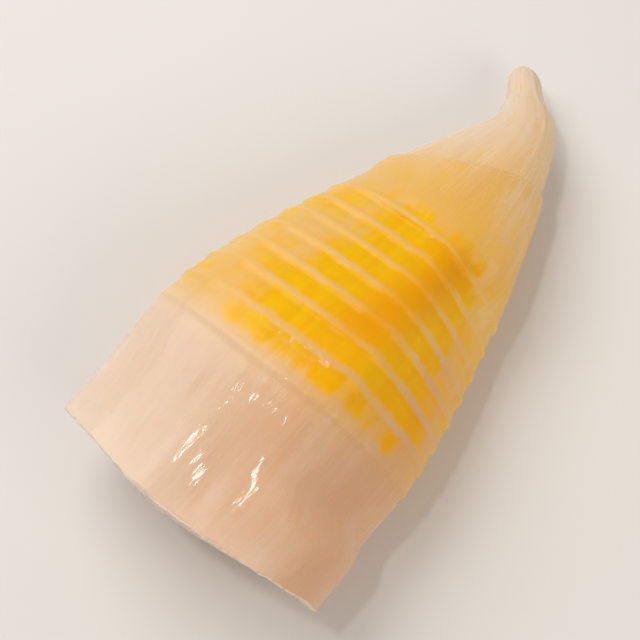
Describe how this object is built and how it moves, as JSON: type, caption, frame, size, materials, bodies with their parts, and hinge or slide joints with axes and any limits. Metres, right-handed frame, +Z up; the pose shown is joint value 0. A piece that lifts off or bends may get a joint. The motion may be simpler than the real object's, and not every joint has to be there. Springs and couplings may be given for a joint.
{
  "type": "boiled peeled bamboo shoot",
  "caption": "Peeled bamboo shoot lying on its side: smooth hollow skirt cut open at the base, fine yellow ringed internodes, and a bent pale tip wrapped in tender sheaths.",
  "frame": {"origin": "centre of the footprint, on the surface the shoot lies on", "axes": "+X along the shoot from its open cut base to its tip, +Z up, +Y towards the side that the tip bends to"},
  "size_m": [0.1025, 0.0512, 0.0309],
  "materials": {
    "flesh": "moist, satin, slightly translucent flesh: pinkish cream skirt, golden yellow internodes between pale node lines, cream tip"
  },
  "bodies": {
    "root": {"shoot": "flesh"}
  },
  "joints": []
}
